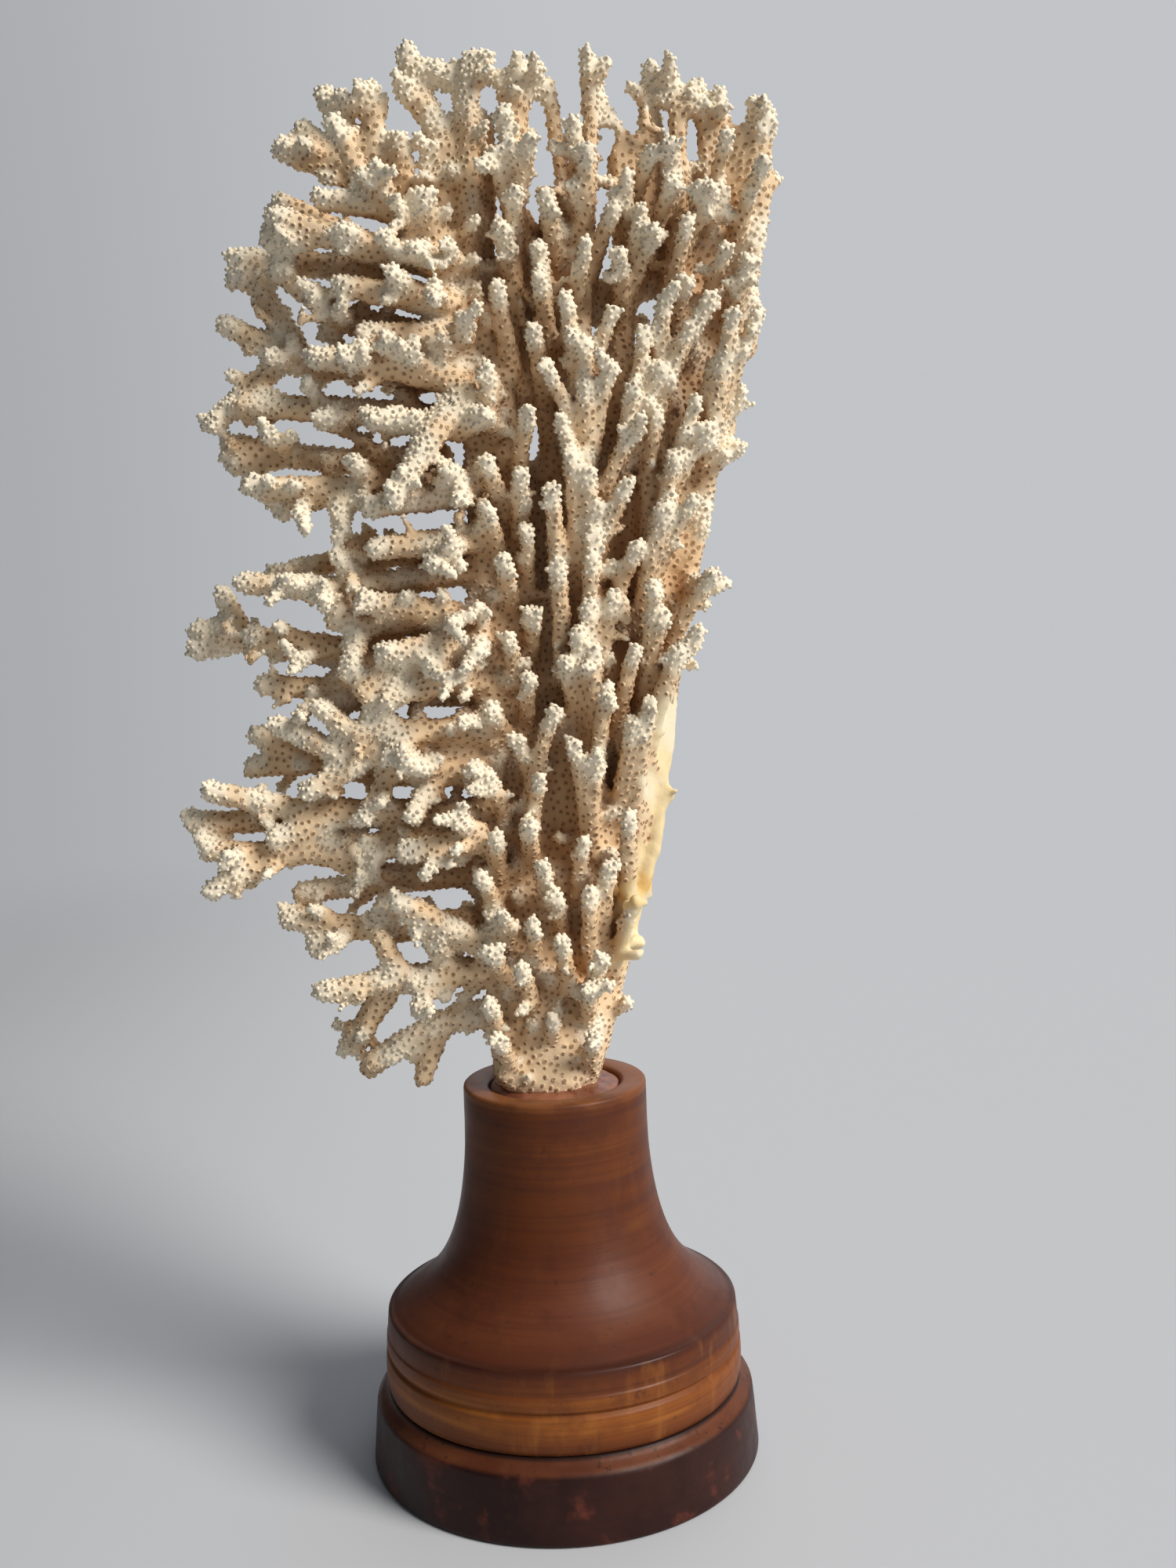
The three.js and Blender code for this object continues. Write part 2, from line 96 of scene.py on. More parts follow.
# The line along which the right margin is worn smooth, as (z, x) from the foot up.
WORN_EDGE = [(115, 17), (134, 22), (146, 26.5), (163, 31), (187, 31), (206, 38)]
WORN_FLAP = [(17, 2, 124), (22, 2, 140), (27, 3, 155), (29.5, 4, 169), (28.5, 4, 184)]

# Spurs along the broken top, as (x, z).
TOP_TIPS = [
    (-12, 347), (-7, 347), (0, 346), (5, 343), (16, 346), (31, 344), (36, 342), (42, 339), (48, 337),
    (57, 336), (60, 332),
]

# Ribs at the back that fuse the front ones together, as (x, y, lowest z, highest z).
REAR_RIBS = [
    (-9.5, 9, 130, 334), (-0.5, 10, 130, 194), (-0.5, 10, 221, 250), (-1, 9, 264, 311),
    (8.5, 11, 130, 222), (9, 11, 229, 259), (8.5, 11, 269, 310), (16.5, 9, 135, 218), (17, 9, 252, 274),
    (18, 9, 284, 294), (24, 10, 140, 258), (24, 10, 268, 325), (31, 10, 178, 262), (32, 9, 290, 330),
    (38, 9, 215, 240), (40, 9, 296, 318), (48, 7, 255, 328), (54, 4, 275, 328), (-14, 6, 286, 334),
    (-21, 5, 292, 322),
]

# Branches at the back that run out to the left, as (x, z) at the root and (x, z) at the end.
REAR_LIMBS = [
    (-6, 296, -36, 318), (-6, 270, -50, 284), (-6, 246, -50, 262), (-6, 226, -48, 236), (-5, 206, -46, 213),
    (-5, 184, -44, 189), (-5, 164, -46, 165), (-4, 143, -40, 139),
]

FOOT_STAND_OUT = 6.5  # how much further the fingers low on the foot reach
FINGER_R = (2.6, 1.85)  # at the root and below the tip
SIDE_FINGER_R = (2.4, 1.8)
MARGIN_FINGER_R = (2.6, 1.9)
TOP_FINGER_R = (2.4, 1.7)
FOOT_LOBE_R = (3.6, 4.4, 4.6, 4.6, 3.8)
WORN_FLAP_R = (1.5, 2.0, 2.1, 2.1, 1.5)
REAR_RIB_R = 3.1
REAR_LIMB_R = (3.2, 2.3)
LOBE_R = 1.2  # of the lobes around a tip

WEB = 0.9  # how far the ribs swell before they are drawn back, which fuses those nearly touching
RIB_THIN = 1.25  # how far they are drawn back
TOP_BAND = (285, 315)  # over which heights the swelling fades, so that the broken top stays open
RIB_VOXEL = 1.1
LIMB_VOXEL = 0.95
VOXEL = 0.85
BODY_SHARE = 0.74  # of the body's triangles that are kept
WAVE = 0.28  # the unevenness of the surface

BUD_GAP = 6.6  # between neighbouring buds
BUD_GAP_FACE = 9.5
BUD_GAP_BACK = 7.6
BUD_TRIES = 14000

TIP_PALE, PRONG_PALE, NUB_PALE = 4.4, 2.8, 1.3  # how far paleness reaches from an end of each kind
WORN_PALE = 6.0  # how wide the worn strip is
WORN_BAND = (124, 196)  # between which heights it runs


def coords(mesh):
    """A mesh's vertices in millimetres."""
    co = np.empty(len(mesh.vertices) * 3, np.float32)
    mesh.vertices.foreach_get("co", co)
    return co.reshape(-1, 3).astype(float) / MM


def set_coords(mesh, co):
    mesh.vertices.foreach_set("co", (co * MM).astype(np.float32).ravel())
    mesh.update()


def normals(mesh):
    n = np.empty(len(mesh.vertices) * 3, np.float32)
    mesh.vertex_normals.foreach_get("vector", n)
    return n.reshape(-1, 3).astype(float)


def edges(mesh):
    e = np.empty(len(mesh.edges) * 2, np.int32)
    mesh.edges.foreach_get("vertices", e)
    return e.reshape(-1, 2)


def mesh_arrays(mesh):
    """A mesh's vertices in millimetres, and its triangles."""
    mesh.calc_loop_triangles()
    tri = np.empty(len(mesh.loop_triangles) * 3, np.int32)
    mesh.loop_triangles.foreach_get("vertices", tri)
    return coords(mesh), tri.reshape(-1, 3)


def make_object(name, co, faces):
    """A mesh object from vertices in millimetres and a list or array of faces."""
    mesh = bpy.data.meshes.new(name)
    faces = faces.tolist() if isinstance(faces, np.ndarray) else faces
    mesh.from_pydata((np.asarray(co) * MM).tolist(), [], faces)
    mesh.update()
    obj = bpy.data.objects.new(name, mesh)
    bpy.context.scene.collection.objects.link(obj)
    return obj


def unit(v):
    """V, or each row of v, at length 1."""
    v = np.asarray(v, float)
    return v / np.maximum(np.linalg.norm(v, axis=-1, keepdims=True), 1e-9)


class Shells:
    """Closed shells gathered for one remesh."""

    def __init__(self):
        self.co, self.faces, self.count = [], [], 0
        self.ends = []  # (place, how far its paleness reaches)

    def add(self, co, faces):
        self.co.append(np.asarray(co, float))
        self.faces += [[i + self.count for i in f] for f in faces]
        self.count += len(co)

    def tube(self, path, radii, sides=9):
        """A closed tube with a rounded end, along path, with a radius at each of its points."""
        path = [np.asarray(p, float) for p in path]
        radii = list(radii)
        along = unit(path[-1] - path[-2])
        end, r = path[-1], radii[-1]
        for out, share in ((0.55, 0.83), (0.88, 0.46)):
            path.append(end + along * out * r)
            radii.append(r * share)
        rings = []
        side = unit(np.cross(along, (0.31, 0.92, 0.24)))
        for i, p in enumerate(path):
            t = unit(path[min(i + 1, len(path) - 1)] - path[max(i - 1, 0)])
            side = unit(side - t * side.dot(t))
            up = np.cross(t, side)
            a = np.arange(sides) * 2 * np.pi / sides
            rings.append(p + radii[i] * (np.cos(a)[:, None] * side + np.sin(a)[:, None] * up))
        co = np.concatenate(rings + [[path[0]], [end + along * r]])
        n = len(rings)
        faces = []
        for i in range(n - 1):
            for j in range(sides):
                k = (j + 1) % sides
                faces.append([i * sides + j, i * sides + k, (i + 1) * sides + k, (i + 1) * sides + j])
        for j in range(sides):
            k = (j + 1) % sides
            faces.append([n * sides, k, j])
            faces.append([n * sides + 1, (n - 1) * sides + j, (n - 1) * sides + k])
        self.add(co, faces)

    def knob(self, tip, along, size=1.0):
        """The lobes around a finger's tip."""
        along = unit(along)
        side = unit(np.cross(along, rng.normal(size=3)))
        other = np.cross(along, side)
        count = rng.integers(2, 5)
        turn = rng.uniform(0, 2 * np.pi)
        for k in range(count):
            a = turn + 2 * np.pi * (k + rng.uniform(-0.2, 0.2)) / count
            out = np.cos(a) * side + np.sin(a) * other
            spread = rng.uniform(0.35, 0.9)
            lean = unit(along + out * spread)
            start = tip - along * rng.uniform(0.5, 3.5) * size
            reach = rng.uniform(1.5, 2.9) * size
            self.tube([start, start + lean * reach], [LOBE_R * size * 1.2, LOBE_R * size], 7)

    def nubs(self, path, radii, count):
        """Short side shoots on the outer part of a finger or limb."""
        path = [np.asarray(p, float) for p in path]
        for _ in range(count):
            i = rng.integers(len(path) // 2, len(path))
            along = unit(path[i] - path[i - 1])
            out = unit(np.cross(along, rng.normal(size=3)))
            start = path[i - 1] + (path[i] - path[i - 1]) * rng.random()
            lean = unit(out + along * rng.uniform(0.4, 1.1))
            end = start + lean * (radii[-1] + rng.uniform(0.9, 2.4))
            self.tube([start, end], [1.3, rng.uniform(0.8, 1.1)], 7)
            self.ends.append((end, NUB_PALE))

    def prong(self, start, lean, reach, r):
        """A short branch that ends in a knob."""
        end = start + lean * reach
        bow = np.cross(lean, rng.normal(size=3)) * 0.5
        self.tube([start, (start + end) / 2 + bow, end], [r * 1.15, r, r * 0.88], 8)
        self.knob(end, lean, r / 2.1)
        self.ends.append((end, PRONG_PALE))

    def finger(self, path, radii, forks):
        """A finger with a knob at its tip, and that many prongs."""
        path = [np.asarray(p, float) for p in path]
        self.tube(path, radii)
        along = unit(path[-1] - path[-2])
        self.knob(path[-1], along, rng.uniform(0.85, 1.15))
        self.ends.append((path[-1], TIP_PALE))
        for _ in range(forks):
            i = rng.integers(len(path) // 2, len(path))
            start = path[i - 1] + (path[i] - path[i - 1]) * rng.random()
            out = unit(np.cross(along, rng.normal(size=3)))
            out[1] = -abs(out[1])
            lean = unit(along * rng.uniform(0.4, 1.0) + out)
            self.prong(start, lean, rng.uniform(4.0, 7.0), rng.uniform(1.45, 1.75))
        self.nubs(path, radii, rng.integers(0, 3))

    def object(self, name):
        return make_object(name, np.concatenate(self.co), self.faces)


def realized(obj, modifier):
    """Replaces obj's mesh by the one that its modifier makes."""
    graph = bpy.context.evaluated_depsgraph_get()
    mesh = bpy.data.meshes.new_from_object(obj.evaluated_get(graph))
    obj.modifiers.remove(modifier)
    old = obj.data
    obj.data = mesh
    bpy.data.meshes.remove(old)
    return obj


def remeshed(obj, voxel):
    """Replaces obj's mesh by its voxel remesh."""
    modifier = obj.modifiers.new("remesh", "REMESH")
    modifier.mode = "VOXEL"
    modifier.voxel_size = voxel * MM
    modifier.use_smooth_shade = True
    return realized(obj, modifier)


def decimated(obj, share):
    """Replaces obj's mesh by one with that share of its triangles."""
    modifier = obj.modifiers.new("decimate", "DECIMATE")
    modifier.ratio = share
    return realized(obj, modifier)


def smoothed(values, pairs, rounds, share=0.5):
    """Values at the vertices, averaged with their neighbours' several times."""
    values = np.array(values, float)
    flat = values.ndim == 1
    if flat:
        values = values[:, None]
    n = len(values)
    both = np.concatenate([pairs, pairs[:, ::-1]])
    degree = np.maximum(np.bincount(both[:, 0], minlength=n), 1)[:, None]
    for _ in range(rounds):
        total = np.stack(
            [np.bincount(both[:, 0], values[both[:, 1], k], n) for k in range(values.shape[1])], -1
        )
        values += share * (total / degree - values)
    return values[:, 0] if flat else values


def inflate(obj, amount, top_amount):
    """Moves the surface out along its normals, by another amount near the broken top."""
    co = coords(obj.data)
    low, high = TOP_BAND
    share = np.clip((co[:, 2] - low) / (high - low), 0, 1)[:, None]
    set_coords(obj.data, co + normals(obj.data) * (amount + (top_amount - amount) * share))


def walk_lengths(co, pairs, sources):
    """The length of the shortest walk over the surface from the sources to each vertex."""
    lengths = np.linalg.norm(co[pairs[:, 0]] - co[pairs[:, 1]], axis=1)
    both = np.concatenate([pairs, pairs[:, ::-1]])
    lengths = np.concatenate([lengths, lengths])
    order = np.argsort(both[:, 0], kind="stable")
    target = both[order, 1].tolist()
    lengths = lengths[order].tolist()
    first = np.searchsorted(both[order, 0], np.arange(len(co) + 1)).tolist()
    best = [math.inf] * len(co)
    queue = [(0.0, int(s)) for s in sources]
    for _, s in queue:
        best[s] = 0.0
    heapq.heapify(queue)
    while queue:
        d, v = heapq.heappop(queue)
        if d > best[v]:
            continue
        for k in range(first[v], first[v + 1]):
            w, e = target[k], d + lengths[k]
            if e < best[w]:
                best[w] = e
                heapq.heappush(queue, (e, w))
    return np.array(best)


def find_tips(mesh, apart):
    """The ends of the branches: the places furthest from the foot, at least that far apart."""
    co, pairs = coords(mesh), edges(mesh)
    walk = walk_lengths(co, pairs, np.nonzero(co[:, 2] < co[:, 2].min() + 3)[0])
    walk[~np.isfinite(walk)] = -1
    both = np.concatenate([pairs, pairs[:, ::-1]])
    highest = np.full(len(co), -1.0)
    np.maximum.at(highest, both[:, 0], walk[both[:, 1]])
    peaks = np.nonzero(walk >= highest)[0]
    peaks = peaks[np.argsort(-walk[peaks], kind="stable")]
    kept = []
    for p in peaks:
        if all(np.sum((co[p] - co[q]) ** 2) > apart**2 for q in kept):
            kept.append(int(p))
    kept = [p for p in kept if walk[p] > 12]
    return walk, kept


def outer_shell(obj, name):
    """Obj without the hollows sealed up inside it, under a new name."""
    co, tri = mesh_arrays(obj.data)
    walk = walk_lengths(co, edges(obj.data), [int(np.argmin(co[:, 2]))])
    used, local = np.unique(tri[np.isfinite(walk)[tri].all(1)], return_inverse=True)
    bpy.data.objects.remove(obj)
    return make_object(name, co[used], local.reshape(-1, 3))


def tree_of(points):
    """A tree that finds the nearest of the points."""
    tree = kdtree.KDTree(len(points))
    for i, p in enumerate(points):
        tree.insert(p, i)
    tree.balance()
    return tree


def bent(start, end, bow):
    """A path of five points from start to end that first runs along bow."""
    start, end, bow = (np.asarray(v, float) for v in (start, end, bow))
    mid = start + bow
    return [(1 - t) ** 2 * start + 2 * t * (1 - t) * mid + t * t * end for t in np.linspace(0, 1, 5)]


# ---------- the coral's body ----------

CORAL_NODES = [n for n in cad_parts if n.startswith(("foot", "rib_", "limb_"))]
RIB_NODES = [n for n in CORAL_NODES if not n.startswith("limb_")]
LIMB_NODES = [n for n in CORAL_NODES if n.startswith("limb_")]

def moved_shell(node, amount):
    """A frame node's surface moved out along its normals by amount(points)."""
    co, tri = mesh_arrays(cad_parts[node].data)
    co, inverse = np.unique(np.round(co, 3), axis=0, return_inverse=True)
    tri = inverse.ravel()[tri]
    face_normal = np.cross(co[tri[:, 1]] - co[tri[:, 0]], co[tri[:, 2]] - co[tri[:, 0]])
    out = np.zeros_like(co)
    for k in range(3):
        np.add.at(out, tri[:, k], face_normal)
    return co + unit(out) * amount(co)[:, None], tri.tolist()


def fused_ribs():
    """The frame's foot and ribs, and the ribs behind them, fused into one plate."""
    shells = Shells()
    for node in RIB_NODES:
        shells.add(*moved_shell(node, lambda co: -1.0 * np.clip((co[:, 2] - 290) / 25, 0, 1)))
    for x, y, low, high in REAR_RIBS:
        zs = np.linspace(low, high, max(3, int((high - low) / 18)))
        path = [(x + 0.8 * math.sin(z / 9 + x), y + 0.6 * math.sin(z / 13), z + CORAL_Z) for z in zs]
        shells.tube(path, [REAR_RIB_R] * len(path))
    for x_root, z_root, x_end, z_end in REAR_LIMBS:
        start = np.array((x_root, 8, z_root + CORAL_Z))
        end = np.array((x_end, 5, z_end + CORAL_Z))
        path = [p + rng.normal(0, 1.3, 3) for p in bent(start, end, (-6, 1, -5))]
        shells.tube(path, np.linspace(*REAR_LIMB_R, len(path)))
    ribs = shells.object("ribs")
    remeshed(ribs, RIB_VOXEL)
    inflate(ribs, WEB, 0.1)
    remeshed(ribs, RIB_VOXEL)
    inflate(ribs, -RIB_THIN, 0.0)
    set_coords(ribs.data, smoothed(coords(ribs.data), edges(ribs.data), 4))
    return ribs


def with_limbs(ribs):
    """The plate of ribs with the frame's side limbs let into it."""
    shells = Shells()
    co, tri = mesh_arrays(ribs.data)
    shells.add(co, tri.tolist())
    for node in LIMB_NODES:
        shells.add(*moved_shell(node, lambda co: np.full(len(co), 0.1)))
    joined = shells.object("branches")
    bpy.data.objects.remove(ribs)
    remeshed(joined, LIMB_VOXEL)
    set_coords(joined.data, smoothed(coords(joined.data), edges(joined.data), 5))
    return joined


def ways_out(co, pairs, walk):
    """The way that the branch runs at each vertex, away from the foot."""
    rise = (walk[pairs[:, 1]] - walk[pairs[:, 0]])[:, None] * (co[pairs[:, 1]] - co[pairs[:, 0]])
    way = np.zeros_like(co)
    np.add.at(way, pairs[:, 0], rise)
    np.add.at(way, pairs[:, 1], rise)
    return unit(smoothed(way, pairs, 6))


def add_buds(shells, co, normal, way):
    """Short prongs all over the branches, where no finger stands yet."""
    taken = {}
    cell = 10.0

    def near(p, gap):
        ci, cj, ck = (int(v // cell) for v in p)
        return any(
            np.sum((q - p) ** 2) < gap * gap
            for i in (-1, 0, 1)
            for j in (-1, 0, 1)
            for k in (-1, 0, 1)
            for q in taken.get((ci + i, cj + j, ck + k), ())
        )

    def take(p):
        taken.setdefault(tuple(int(v // cell) for v in p), []).append(p)

    for end, _ in shells.ends:
        take(end)
    for v in rng.permutation(len(co))[:BUD_TRIES]:
        p = co[v]
        on_worn_margin = p[0] > 16 and p[2] < 195 and normal[v][0] > 0.3
        if p[2] < 106 or on_worn_margin:
            continue
        on_back = normal[v][1] > 0.2
        on_face = not on_back and p[0] > -8 and p[2] > 150
        gap = BUD_GAP_BACK if on_back else BUD_GAP_FACE if on_face else BUD_GAP
        if near(p, gap):
            continue
        take(p)
        lean = unit(normal[v] * 0.8 + way[v] * 0.75 + rng.normal(0, 0.2, 3))
        shells.prong(p - normal[v] * 1.2, lean, rng.uniform(4.2, 8.0), rng.uniform(1.45, 1.85))


def with_fingers(branches):
    """The branches with every finger, its lobes and its side shoots."""
    walk, tips = find_tips(branches.data, 6.0)
    co, tri = mesh_arrays(branches.data)
    tree = BVHTree.FromPolygons(co.tolist(), tri.tolist())
    shells = Shells()
    shells.add(co, tri.tolist())

    def root(guess):
        """A place just inside the branch nearest to guess, or guess if that is well inside one."""
        place, normal, _, _ = tree.find_nearest(Vector(guess))
        place, normal = np.array(place), np.array(normal)
        inside = (np.array(guess) - place).dot(normal) < -2
        return np.array(guess, float) if inside else place - normal * 2.2

    for x, z in FACE_TIPS:
        stand_out = FOOT_STAND_OUT * np.clip((158 - z) / 30, 0, 1)
        tip = np.array((x, FACE_Y - stand_out + rng.uniform(-1.5, 3.5), z + CORAL_Z))
        long = x > 2 and 136 < z < 290
        lean = rng.uniform(19, 29) if long else rng.uniform(11, 18)
        aside = -0.22 * (x - 4) if long else -0.12 * (x - 4)
        start = root(tip + (aside + rng.uniform(-2, 2), 11 if long else 14, -lean))
        path = bent(start, tip, (0, -5 if long else -4.5, lean * 0.3))
        radii = np.linspace(*FINGER_R, 5) * rng.uniform(0.88, 1.12)
        shells.finger(path, radii, rng.integers(0, 2) if z < 270 else rng.integers(0, 3))
    for tip in SIDE_TIPS:
        tip = np.array(tip, float) + (0, 0, CORAL_Z)
        start = root(tip + (5, 9, -3 if tip[2] > 250 else 2))
        path = bent(start, tip, (-2, -3, 0))
        radii = np.linspace(*SIDE_FINGER_R, 5) * rng.uniform(0.88, 1.1)
        shells.finger(path, radii, rng.integers(1, 3))
    for tip in MARGIN_TIPS:
        tip = np.array(tip, float) + (0, 0, CORAL_Z)
        start = root(tip + (-7, 2, -8))
        shells.finger(bent(start, tip, (0, 0, 4)), np.linspace(*MARGIN_FINGER_R, 5), 1)
    for x, z in TOP_TIPS:
        tip = np.array((x, 2 + rng.uniform(-3, 3), z + CORAL_Z))
        start = root(tip + (-1, 1, -12))
        shells.finger(bent(start, tip, (0, 0, 4)), np.linspace(*TOP_FINGER_R, 5), 1)
    lobe = [np.array(p, float) + (0, 0, CORAL_Z) for p in FOOT_LOBE]
    shells.tube(lobe, FOOT_LOBE_R)
    shells.nubs(lobe, FOOT_LOBE_R[:1], 5)
    flap = [np.array(p, float) + (0, 0, CORAL_Z) for p in WORN_FLAP]
    shells.tube(flap, WORN_FLAP_R)
    for i in range(7):
        start = flap[i // 2] + (flap[1 + i // 2] - flap[i // 2]) * rng.random()
        lean = unit((1, rng.uniform(-0.8, 0.8), rng.uniform(-0.3, 1.2)))
        shells.tube([start, start + lean * rng.uniform(1.8, 4.4)], [rng.uniform(1.4, 2.2), 0.8], 6)
    for t in tips:
        if co[t][2] < 98:
            continue
        near = np.linalg.norm(co - co[t], axis=1) < 7
        along = unit(co[t] - co[near].mean(0))
        shells.knob(co[t] - along * 1.4, along, rng.uniform(0.95, 1.2))
        shells.ends.append((co[t] - along * 1.5, TIP_PALE))
        back = co[t] - along * 11
        shells.nubs([back, back + along * 3, co[t] - along * 3], [2.8], rng.integers(1, 4))
    add_buds(shells, co, normals(branches.data), ways_out(co, edges(branches.data), walk))
    body = shells.object("coral_shells")
    bpy.data.objects.remove(branches)
    remeshed(body, VOXEL)
    body = outer_shell(body, "coral_body")
    set_coords(body.data, smoothed(coords(body.data), edges(body.data), 2))
    return decimated(body, BODY_SHARE), shells.ends


body, branch_ends = with_fingers(with_limbs(fused_ribs()))


# ---------- where the surface is: near a tip, or deep between the branches ----------


def tip_shares(co, ends, thick=2.2):
    """How close each place is to the end of a branch, from 0 to 1, and the way to that end."""
    share, way = np.zeros(len(co)), np.zeros_like(co)
    for reach in (TIP_PALE, PRONG_PALE, NUB_PALE):
        tree = tree_of([p for p, r in ends if r == reach])
        near = [tree.find(Vector(p)) for p in co]
        here = np.clip(1 - (np.array([n[2] for n in near]) - thick * reach / TIP_PALE) / reach, 0, 1)
        better = here >= share
        share[better] = here[better]
        way[better] = unit(np.array([n[0] for n in near]) - co)[better]
    return share, way


def worn_share(co):
    """Where the right margin is worn smooth, from 0 to 1."""
    x, z = co[:, 0], co[:, 2] - CORAL_Z
    edge = np.interp(z, [p[0] for p in WORN_EDGE], [p[1] for p in WORN_EDGE])
    ragged = 1.8 * np.sin(z * 0.42 + co[:, 1] * 0.3) + 1.2 * np.sin(z * 1.1 + co[:, 1])
    wide = 5 * np.exp(-(((z - 146) / 5) ** 2))
    across = np.clip((x - edge + WORN_PALE + wide + ragged) / 2, 0, 1)
    low, high = WORN_BAND
    return across * np.clip((z - low) / 5, 0, 1) * np.clip((high - z) / 6, 0, 1)


def openness(co, normal, tree, rays=12, reach=26.0):
    """The share of the sky that each place sees past the coral itself."""
    i = np.arange(rays) + 0.5
    z = np.sqrt(1 - i / rays)
    turn = i * math.pi * (3 - math.sqrt(5))
    flat = np.sqrt(1 - z * z)
    local = np.stack([flat * np.cos(turn), flat * np.sin(turn), z], -1)
    side = unit(np.cross(normal, (0.43, 0.57, 0.7)))
    other = np.cross(normal, side)
    seen = np.zeros(len(co))
    starts = co + normal * 0.25
    for a, b, c in local:
        ways = a * side + b * other + c * normal
        seen += [
            tree.ray_cast(Vector(s), Vector(w), reach)[0] is None
            for s, w in zip(starts.tolist(), ways.tolist())
        ]
    return seen / rays


def give(mesh, name, values):
    """Gives each vertex a value that the material reads."""
    attribute = mesh.attributes.new(name, "FLOAT", "POINT")
    attribute.data.foreach_set("value", np.asarray(values, np.float32))


body_co, body_tri = mesh_arrays(body.data)
body_pairs = edges(body.data)
wave = (
    np.sin(body_co[:, 0] * 0.9 + np.sin(body_co[:, 2] * 0.45) * 2)
    * np.sin(body_co[:, 2] * 0.8 + np.sin(body_co[:, 1] * 0.7) * 2)
)
body_co += normals(body.data) * wave[:, None] * WAVE
set_coords(body.data, body_co)
body_normal = normals(body.data)
body_tip, body_way = tip_shares(body_co, branch_ends)
body_tip = smoothed(body_tip, body_pairs, 3)
body_tree = BVHTree.FromPolygons(body_co.tolist(), body_tri.tolist())
sampled = np.arange(0, len(body_co), 3)
known = np.zeros(len(body_co))
known[sampled] = 1
body_open = np.zeros(len(body_co))
body_open[sampled] = openness(body_co[sampled], body_normal[sampled], body_tree)
body_open = smoothed(body_open, body_pairs, 4) / np.maximum(smoothed(known, body_pairs, 4), 1e-6)
give(body.data, "tip", body_tip)
give(body.data, "open", body_open)
give(body.data, "pit", np.zeros(len(body_co)))
give(body.data, "worn", worn_share(body_co))


# ---------- the cups ----------

CUP_SIDES = 6
CUP_POINTS = 2 * CUP_SIDES + 1  # the base ring, the rim, and the floor of the pit
SPACING_RIB = 1.62  # the least distance between neighbouring cups
SPACING_TIP = 1.24
SPACING_BACK = 1.45  # how many times wider they stand on the back
SKY_LEAST = 0.11  # no cups where less of the sky is seen
CUP_TRIES = 300000
CUP_PIECES = 4


def scatter(count):
    """Points on the body no closer together than the cups stand, with what the surface is like there."""
    a, b, c = (body_co[body_tri[:, k]] for k in range(3))
    area = np.linalg.norm(np.cross(b - a, c - a), axis=1) / 2
    pick = np.searchsorted(np.cumsum(area) / area.sum(), rng.random(count))
    u, v = rng.random(count), rng.random(count)
    flip = u + v > 1
    u[flip], v[flip] = 1 - u[flip], 1 - v[flip]
    weights = np.stack([1 - u - v, u, v], -1)[:, :, None]
    corner = body_tri[pick]

    def at(values):
        values = values[:, None] if values.ndim == 1 else values
        return (values[corner] * weights).sum(1)

    place, normal, way = at(body_co), unit(at(body_normal)), unit(at(body_way))
    tip, sky = at(body_tip)[:, 0], at(body_open)[:, 0]
    space = SPACING_RIB + (SPACING_TIP - SPACING_RIB) * np.clip(tip * 1.5, 0, 1)
    back = np.clip(normal[:, 1], 0, 1)
    space = space * (1 + (SPACING_BACK - 1) * back)
    keep = (sky > SKY_LEAST) & (worn_share(place) < 0.4)
    cells, kept = {}, []
    cell = np.floor(place / 2.6).astype(int)
    around = [(i, j, k) for i in (-1, 0, 1) for j in (-1, 0, 1) for k in (-1, 0, 1)]
    places = place.tolist()
    for n in np.nonzero(keep)[0]:
        x, y, z = places[n]
        ci, cj, ck = cell[n]
        near = space[n] ** 2
        free = True
        for i, j, k in around:
            for px, py, pz in cells.get((ci + i, cj + j, ck + k), ()):
                if (x - px) ** 2 + (y - py) ** 2 + (z - pz) ** 2 < near:
                    free = False
                    break
            if not free:
                break
        if free:
            cells.setdefault((ci, cj, ck), []).append((x, y, z))
            kept.append(n)
    kept = np.array(kept)
    return place[kept], normal[kept], way[kept], tip[kept], sky[kept]


